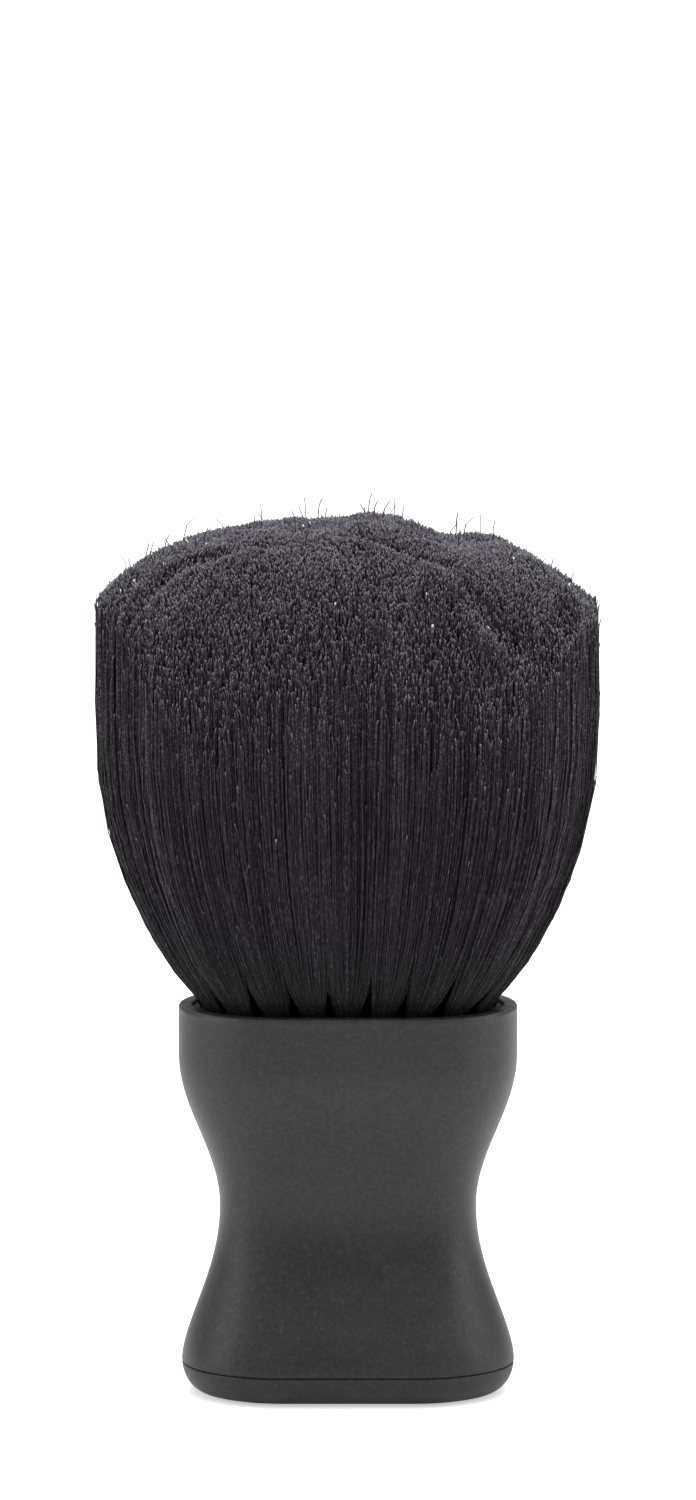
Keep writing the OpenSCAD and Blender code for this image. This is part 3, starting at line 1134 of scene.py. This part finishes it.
        lint = ~some.loose & (rng.random(count) < self.lint_share)
        return Filaments(
            path=np.concatenate([flat, z[..., None]], -1),
            radius=some.thick[:, None] * (1 - 0.25 * near) * np.where(lint, 1.6, 1.0)[:, None],
            shade=np.where(lint, 3.0, shade),
            # tip sets the painted highlight on the last 0.5 mm; loose filaments get little of it.
            tip=near * np.where(some.loose, 0.15, 1)[:, None],
            # depth drives the painted shade that darkens the filaments towards the block.
            depth=np.clip((z - face - 6) / 40, 0, 1),
        )

    def cell(self, row: Row, index: int, square: np.ndarray) -> np.ndarray:
        """Outline of a tuft's share of the unspread plan; the outer row's keeps off the outline.

        Args:
            row: Row of the tuft.
            index: Number of the tuft in the row.
            square: Places in the cell, from -1 to 1 both ways.

        Returns:
            x and y of each place, in mm.
        """
        half = self.plan.pitch / 2
        if row is Row.CORE:
            return self.plan.centre(row, index) + square * half * 0.94
        ring = row.number * self.plan.pitch
        pace = self.plan.length(ring) / row.count
        inset, shift = (0.94, 0.0) if row is Row.MID else (0.62, -0.28 * half)
        arc = (index + row.turn + square[:, 0] * 0.47) * pace
        return self.plan.point(arc, ring, ring + shift + square[:, 1] * half * inset)

    def core(self, row: Row, index: int) -> MeshData:
        """Closed core of a tuft, under its filaments, dark with the filament material's painted shade.

        A loft of 20-sided rings round the middle of the tuft: round in the hole and a rounded
        square as wide as its share of the head above, closed by a fan at each end.

        Args:
            row: Row of the tuft.
            index: Number of the tuft in the row.

        Returns:
            The mesh.
        """
        sides = 20
        s = np.arange(sides)
        disc = np.stack([np.cos(s * 2 * np.pi / sides), np.sin(s * 2 * np.pi / sides)], -1)
        square = disc / (np.abs(disc) ** 5).sum(-1, keepdims=True) ** 0.2
        middle, cell, face = self.plan.centre(row, index), self.cell(row, index, square), self.shape.face
        z = np.array([self.hole_floor, *(face + np.array([-3, -0.4, 3, 7, 13, 21, 31, 43]))])
        blend = np.clip((z - face) / 9, 0, 1)[:, None, None] ** 0.7
        flat = (middle + disc * self.hole) * (1 - blend) + cell * blend
        flat = flat * self.shape.growth(z)[:, None]
        above, summit = cell * self.shape.grow, middle * self.shape.grow
        rings = np.concatenate([flat, np.repeat(z[:, None, None], sides, 1)], -1).reshape(-1, 3)
        last = np.concatenate([above, (self.shape.dome(above) - self.sunk)[:, None]], -1)
        ends = [[*middle, z[0]], [*summit, self.shape.dome(summit[None])[0] - self.sunk + 0.5]]
        points = np.concatenate([rings, last, ends])
        base, hub = len(rings), len(points) - 2
        after = (s + 1) % sides
        low = np.stack([after, s, np.full(sides, hub)], -1)
        high = np.stack([base + s, base + after, np.full(sides, hub + 1)], -1)
        faces = [ring_faces(len(z) + 1, sides), np.concatenate([low, high])]
        if row is not Row.CORE:
            faces = [corners[:, ::-1] for corners in faces]
        none = np.zeros(len(points))
        # Depth held at 0.7 or under keeps the core darker than the shafts: painted shade inside the tuft.
        depth = np.clip((points[:, 2] - face - 6) / 60, 0, 0.7)
        return MeshData(points * MM, faces, {"shade": none + 0.2, "tip": none, "depth": depth})

    def build(self, material: bpy.types.Material) -> list[bpy.types.Object]:
        """Builds and dresses one piece for every tuft.

        Args:
            material: Material of the filaments.

        Returns:
            The pieces.
        """
        filaments = self.populate()
        pieces = []
        for row in Row:
            for index in range(row.count):
                parts = [self.core(row, index)]
                for full in (False, True):
                    some = filaments.pick(row, index, full)
                    grown = self.grow_filaments(some, self.levels(some, full))
                    parts.append(grown.mesh(self.rng.uniform(0, 2 * np.pi, len(some.top))))
                node = row.node(index)
                piece = MeshData.joined(parts).piece(node + "_filaments")
                piece.data.materials.append(material)
                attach(piece, BODY)
                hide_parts(node)
                pieces.append(piece)
        log.info("bristle head: %d filaments in %d tufts", len(filaments.top), len(pieces))
        return pieces


# ---------------------------------------------------------------- handle and cap


@dataclass
class Handle:
    """Waisted hollow handle and the cap that closes its foot, as sweeps round the oval plan.

    Attributes:
        plan: The oval plan.
        collar: Half thickness of the collar, in mm.
        rim: Height of the rim of the collar, in mm.
        seam: Height of the seam between cap and handle, in mm.
        block: Half thickness of the tuft block, in mm.
        plug_top: Height of the top of the cap's plug ring, in mm.
        foot: Half thickness at the foot, in mm.
        foot_round: Height of the rounded lower edge, in mm.
        contact: Half thickness of the flat it stands on, in mm.
        waist: Half thickness at the waist, in mm.
        waist_height: Height of the waist, in mm.
        band: Height of the straight collar, in mm.
        wall: Wall of the moulding, in mm.
        seat: Height of the ledge under the block, in mm.
        deck: Heights of the underside and the top of the cross deck, in mm.
        plug: Half thickness of the opening for the plug ring, in mm.
        play: Clearance of the block in its socket and of the plug ring, in mm.
        cap_floor: Thickness of the cap's floor, in mm.
    """

    plan: OvalPlan
    collar: float
    rim: float
    seam: float
    block: float
    plug_top: float
    foot: float = 15.8
    foot_round: float = 5.0
    contact: float = 12.1
    waist: float = 9.8
    waist_height: float = 29.5
    band: float = 8.0
    wall: float = 2.2
    seat: float = 50.5
    deck: tuple[float, float] = (28.5, 31.0)
    plug: float = 12.9
    play: float = 0.1
    cap_floor: float = 2.4

    @staticmethod
    def ease(share: np.ndarray) -> np.ndarray:
        """Half a cosine wave from 0 to 1."""
        return (1 - np.cos(np.pi * np.clip(share, 0, 1))) / 2

    def outside(self, z: np.ndarray | float) -> np.ndarray:
        """Half thickness of the outside at each height.

        A quarter round at the foot, then two half cosine waves, down to the waist and up to the
        collar.

        Args:
            z: Heights, in mm.

        Returns:
            Offsets of the outside from the spine, in mm.
        """
        edge, waist = self.foot_round, self.waist_height
        bulge = np.sqrt(np.clip(1 - (1 - z / edge) ** 2, 0, 1))
        low = self.contact + (self.foot - self.contact) * bulge
        down = np.clip((z - edge) / (waist - edge), 0, 1) ** 0.8
        drop = self.foot + (self.waist - self.foot) * self.ease(down)
        up = (z - waist) / (self.rim - self.band - waist)
        rise = self.waist + (self.collar - self.waist) * self.ease(up)
        return np.where(z < edge, low, np.where(z < waist, drop, rise))

    def stretch(self, low: float, high: float, count: int, inset: float = 0.0) -> np.ndarray:
        """Points of the outside between two heights, moved in by the inset.

        Args:
            low: Lower height, in mm.
            high: Upper height, in mm.
            count: Number of points.
            inset: How far inside they lie, in mm.

        Returns:
            Offset and height of each point, in mm, from the bottom up.
        """
        z = np.linspace(low, high, count)
        return np.stack([self.outside(z) - inset, z], -1)

    def shell_profile(self) -> np.ndarray:
        """Section of the shell: up the outside, over the rim, down the socket and the hollows.

        Returns:
            Offset and height of each point, in mm, anticlockwise.
        """
        out, rim, seam, sock = self.collar, self.rim, self.seam, self.block + self.play
        below, above = self.deck
        return np.concatenate([
            [[self.outside(seam) - 0.22, seam + 0.02]],
            self.stretch(seam + 0.24, rim - 0.7, 150),
            [[out - 0.05, rim - 0.38], [out - 0.18, rim - 0.16], [out - 0.38, rim - 0.04]],
            [[out - 0.6, rim], [sock + 0.35, rim], [sock + 0.12, rim - 0.08]],
            [[sock + 0.02, rim - 0.3]],
            [[sock, self.seat], [sock - 1.4, self.seat]],
            self.stretch(above, self.seat - 6.5, 14, self.wall)[::-1],
            [[0.0, above], [0.0, below]],
            self.stretch(self.plug_top + 0.8, below, 20, self.wall)[::-1],
            [[self.plug, self.plug_top + 0.4], [self.plug, seam + 0.02]],
        ])

    def cap_profile(self) -> np.ndarray:
        """Section of the cap: along the flat, up the outside, round the plug ring and its bead.

        Returns:
            Offset and height of each point, in mm, anticlockwise.
        """
        seam, top, ring = self.seam, self.plug_top, self.plug - self.play
        edge, inner, bead = self.outside(seam), self.plug - 1.7, seam + 3.2
        return np.concatenate([
            [[0.0, 0.0], [self.contact - 2.5, 0.0], [self.contact - 0.4, 0.0]],
            self.stretch(0.02, seam - 0.3, 26),
            [[edge - 0.06, seam - 0.12], [edge - 0.28, seam - 0.02], [ring, seam - 0.02]],
            [[ring, bead], [ring + 0.3, bead + 0.3], [ring + 0.3, bead + 0.8], [ring, bead + 1.1]],
            [[ring, top - 0.5], [ring - 0.4, top], [inner, top]],
            [[inner, self.cap_floor], [0.0, self.cap_floor]],
        ])

    def sweep(self, profile: np.ndarray) -> MeshData:
        """A closed profile carried round the oval plan.

        Vertex (i, j) is profile point i, its first number taken as the offset from the spine, at
        place j of 192 places round the plan, closer together at the ends than on the straights.

        Args:
            profile: Offset and height of each point, in mm, anticlockwise.

        Returns:
            The mesh.
        """
        h, turn = self.plan.half, math.pi
        run, bend = 2 * h * np.linspace(0, 1, 13)[:-1], turn * np.linspace(0, 1, 85)[:-1]
        arc = np.concatenate([run, 2 * h + bend, 2 * h + turn + run, 4 * h + turn + bend]) + h + turn
        spine = self.plan.point(arc, 1.0, np.zeros_like(arc))
        out = self.plan.point(arc, 1.0, np.ones_like(arc)) - spine
        flat = spine[None] + profile[:, :1, None] * out[None]
        z = np.broadcast_to(profile[:, 1:, None], (*flat.shape[:2], 1))
        points = np.concatenate([flat, z], -1).reshape(-1, 3) * MM
        return MeshData(points, [ring_faces(len(profile), len(arc), True)[:, ::-1]])

    @staticmethod
    def close(piece: bpy.types.Object) -> None:
        """Merges the vertices that fall on one place, and turns an inside-out mesh over.

        Args:
            piece: The piece to put right.
        """
        work = bmesh.new()
        work.from_mesh(piece.data)
        bmesh.ops.remove_doubles(work, verts=work.verts, dist=1e-6)
        bmesh.ops.dissolve_degenerate(work, edges=work.edges, dist=1e-7)
        if work.calc_volume(signed=True) < 0:
            bmesh.ops.reverse_faces(work, faces=work.faces)
        work.to_mesh(piece.data)
        work.free()

    def build(self, material: bpy.types.Material) -> list[bpy.types.Object]:
        """Builds the handle shell and the foot cap.

        Args:
            material: Their plastic.

        Returns:
            The pieces.
        """
        pieces = []
        for name, profile, node in (
            ("handle_moulding", self.shell_profile(), "handle_shell"),
            ("foot_cap", self.cap_profile(), "base_cap"),
        ):
            piece = self.sweep(profile).piece(name)
            self.close(piece)
            piece.data.materials.append(material)
            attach(piece, BODY)
            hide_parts(node)
            pieces.append(piece)
            log.info("handle: %s", name)
        return pieces


@dataclass
class HiddenPieces:
    """The block, screws and anchors: solid pieces of the part that keep their shape.

    Attributes:
        nodes: The part's nodes, by name.
    """

    nodes: dict[str, bpy.types.Object]

    def dress(self, finishes: dict[str, bpy.types.Material]) -> None:
        """Gives each node its material.

        Args:
            finishes: Material for each node, by the node's name.
        """
        for name, material in finishes.items():
            materials = self.nodes[name].data.materials
            materials.clear()
            materials.append(material)
            log.info("dressed %s", name)


# ---------------------------------------------------------------- studio


@dataclass(frozen=True)
class Lamp:
    """A rectangular lamp that looks at the middle of the brush.

    Attributes:
        name: Name of the lamp.
        place: Where it hangs, in metres.
        size: Width and height, in metres.
        power: Power, in watts.
        aim: Height it looks at, in metres.
    """

    name: str
    place: tuple[float, float, float]
    size: tuple[float, float]
    power: float
    aim: float = 0.1

    def hang(self) -> None:
        """Puts the lamp in the scene."""
        light = bpy.data.lights.new(self.name, "AREA")
        light.shape, light.energy = "RECTANGLE", self.power
        light.size, light.size_y = self.size
        lamp = bpy.data.objects.new(self.name, light)
        bpy.context.scene.collection.objects.link(lamp)
        lamp.location = self.place
        x, y, z = self.place
        tilt = math.atan2(self.aim - z, math.hypot(x, y))
        lamp.rotation_euler = (math.pi / 2 + tilt, 0.0, math.atan2(x, -y))


@dataclass
class Studio:
    """Pale floor, soft lights and the camera.

    Attributes:
        distance: How far in front the camera stands, in metres.
        camera_height: Height of the camera, in metres.
        aim_height: Height it looks at, in metres.
        frame_height: Height of the view at the brush, in metres.
        lamps: The lamps: a large soft one above, and one at each side.
    """

    distance: float = 1.36
    camera_height: float = 0.285
    aim_height: float = 0.1016
    frame_height: float = 0.2345
    lamps: tuple[Lamp, ...] = (
        Lamp("overhead", (0.05, 0.1, 1.3), (1.1, 0.9), 17.0),
        Lamp("left", (-1.1, -0.25, 0.45), (0.7, 1.0), 4.0),
        Lamp("right", (1.1, -0.1, 0.5), (0.7, 1.0), 4.0),
    )

    def floor(self) -> None:
        """A wide pale disc under the brush, with a faint mottle; it glows to the camera."""
        sides, radius = 96, np.array([0.0005, 0.3, 1.0, 3.0, 8.0])[:, None]
        angle = np.arange(sides) * 2 * np.pi / sides
        flat = [radius * np.cos(angle), radius * np.sin(angle), np.full((len(radius), sides), -0.0002)]
        hub = np.arange(sides)[None, :]
        faces = [ring_faces(len(radius), sides)[:, ::-1], hub]
        floor = MeshData(np.stack(flat, -1).reshape(-1, 3), faces).piece("floor")
        made, w, shader = new_material("pale floor")
        mottle = w.mix(w.noise(6.0, 3.0), (0.80, 0.80, 0.81, 1), (0.86, 0.86, 0.86, 1))
        w.join(mottle, shader.inputs["Base Color"])
        shader.inputs["Roughness"].default_value = 0.7
        shader.inputs["Emission Color"].default_value = WHITE
        glow = w.between(w.node("LightPath").outputs["Is Camera Ray"], 0.1, 0.5)
        w.join(glow, shader.inputs["Emission Strength"])
        floor.data.materials.append(made)
        floor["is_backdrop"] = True

    @staticmethod
    def surround() -> None:
        """A white world, brighter overhead, and plain white where the camera sees it."""
        world = bpy.data.worlds.new("surround")
        world.use_nodes = True
        w = Wiring(world.node_tree)
        up = w.axis(w.node("TexCoord").outputs["Generated"], "Z")
        glow = w.between(w.math("MAXIMUM", up, 0.0), 0.25, 1.2)
        seen = w.node("LightPath").outputs["Is Camera Ray"]
        background = world.node_tree.nodes["Background"].inputs
        w.join(w.math("MAXIMUM", glow, seen), background["Strength"])
        background["Color"].default_value = WHITE
        bpy.context.scene.world = world

    def camera(self) -> None:
        """Camera in front, a little above the dome, aimed so that the brush stands low in the frame."""
        lens = bpy.data.cameras.new("camera")
        eye = bpy.data.objects.new("camera", lens)
        bpy.context.scene.collection.objects.link(eye)
        fall = self.camera_height - self.aim_height
        away = math.hypot(self.distance, fall)
        lens.sensor_fit, lens.sensor_height = "VERTICAL", 36.0
        lens.lens = lens.sensor_height * away / self.frame_height
        lens.clip_start, lens.clip_end = 0.05, 50.0
        eye.location = (0.0, -self.distance, self.camera_height)
        eye.rotation_euler = (math.pi / 2 - math.atan2(fall, self.distance), 0.0, 0.0)
        bpy.context.scene.camera = eye

    def build(self) -> None:
        """Sets everything up, with plain display colours."""
        self.floor()
        for lamp in self.lamps:
            lamp.hang()
        self.surround()
        self.camera()
        bpy.context.scene.view_settings.view_transform = "Standard"
        log.info("studio: floor, %d lamps and camera", len(self.lamps))


# ---------------------------------------------------------------- the brush


@dataclass(frozen=True)
class Box:
    """Box of a piece that stands round the upright middle line of the frame.

    Attributes:
        half_width: Half of its size along x, in mm.
        half_depth: Half of its size along y, in mm.
        top: Height of its top, in mm.
        bottom: Height of its lower end, in mm.
    """

    half_width: float
    half_depth: float
    top: float
    bottom: float

    @classmethod
    def of(cls, corners: tuple[Vector, Vector]) -> "Box":
        """The box between two corners given in metres, to the nearest micrometre."""
        low, high = corners
        return cls(*(round(size / MM, 3) for size in (*high, low.z)))


def main() -> None:
    """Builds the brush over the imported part."""
    logging.basicConfig(level=logging.INFO, format="%(name)s: %(message)s")
    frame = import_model()
    solid_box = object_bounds()
    whole = Box.of(solid_box)
    block, shell, cap = (Box.of(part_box(name)) for name in ("tuft_block", "handle_shell", "base_cap"))
    plan = OvalPlan(half=round(block.half_width - block.half_depth, 3))
    handle = Handle(
        plan,
        collar=shell.half_depth,
        rim=shell.top,
        seam=shell.bottom,
        block=block.half_depth,
        plug_top=cap.top,
    )
    head = BristleHead(
        HeadShape(plan, 2 * whole.half_width, 2 * whole.half_depth, whole.top, face=block.top)
    )

    effects = Effects()
    plastic = MouldedFinish(
        "handle plastic", (0.0085, 0.0082, 0.0088, 1), (0.016, 0.0155, 0.016, 1), 0.36,
        parting=True, edges=(1.0, handle.rim - 0.2),
    )
    block_plastic = MouldedFinish(
        "block plastic", (0.016, 0.016, 0.016, 1), (0.026, 0.026, 0.026, 1), 0.5, dust=0.05
    )
    wire = WireFinish("staple wire", (0.62, 0.62, 0.63, 1), (0.40, 0.40, 0.41, 1), 0.3)
    plated = WireFinish("plated screws", (0.60, 0.61, 0.62, 1), (0.42, 0.43, 0.45, 1), 0.34)
    hidden = {"tuft_block": block_plastic, "anchor_staples": wire, "block_screws": plated}

    handle.build(plastic.material(effects))
    head.build(BristleFinish().material(effects))
    HiddenPieces(frame["nodes"]).dress({name: made.material(effects) for name, made in hidden.items()})
    Studio().build()


if __name__ == "__main__":
    main()
